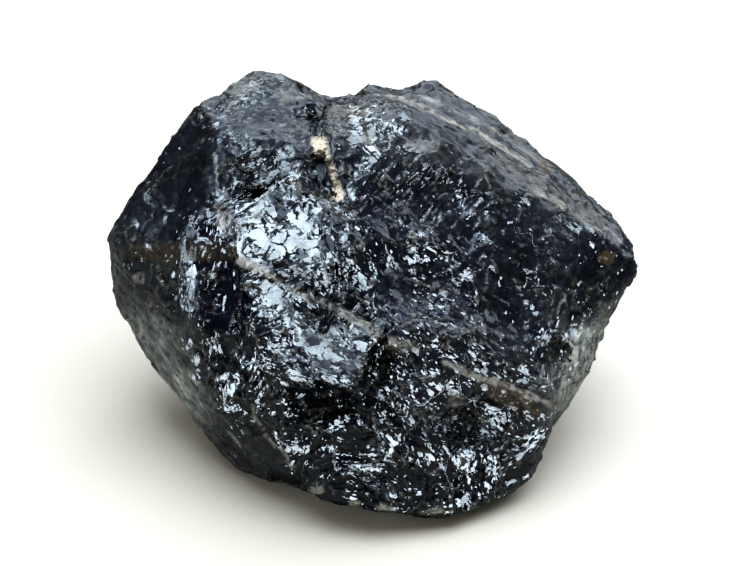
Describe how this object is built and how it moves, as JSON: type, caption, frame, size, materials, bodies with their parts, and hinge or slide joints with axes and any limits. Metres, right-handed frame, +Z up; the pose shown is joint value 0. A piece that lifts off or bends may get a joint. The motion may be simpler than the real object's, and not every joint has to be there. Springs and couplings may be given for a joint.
{
  "type": "rough morion quartz block",
  "caption": "Rough, uncut block of black morion quartz: a fractured natural lump with hackly breaks, shell-shaped scars and milky veins, resting on a flat underside.",
  "frame": {"origin": "a point near the middle of the flat underside that the block rests on", "axes": "+Z up from the resting face, +X to the right along the block's longest extent, +Y away from the broad broken front"},
  "size_m": [0.1516, 0.1159, 0.0945],
  "materials": {
    "morion": "vitreous, freshly broken, opaque black with milky and smoky veins"
  },
  "bodies": {
    "root": {"quartz_block": "morion"}
  },
  "joints": []
}
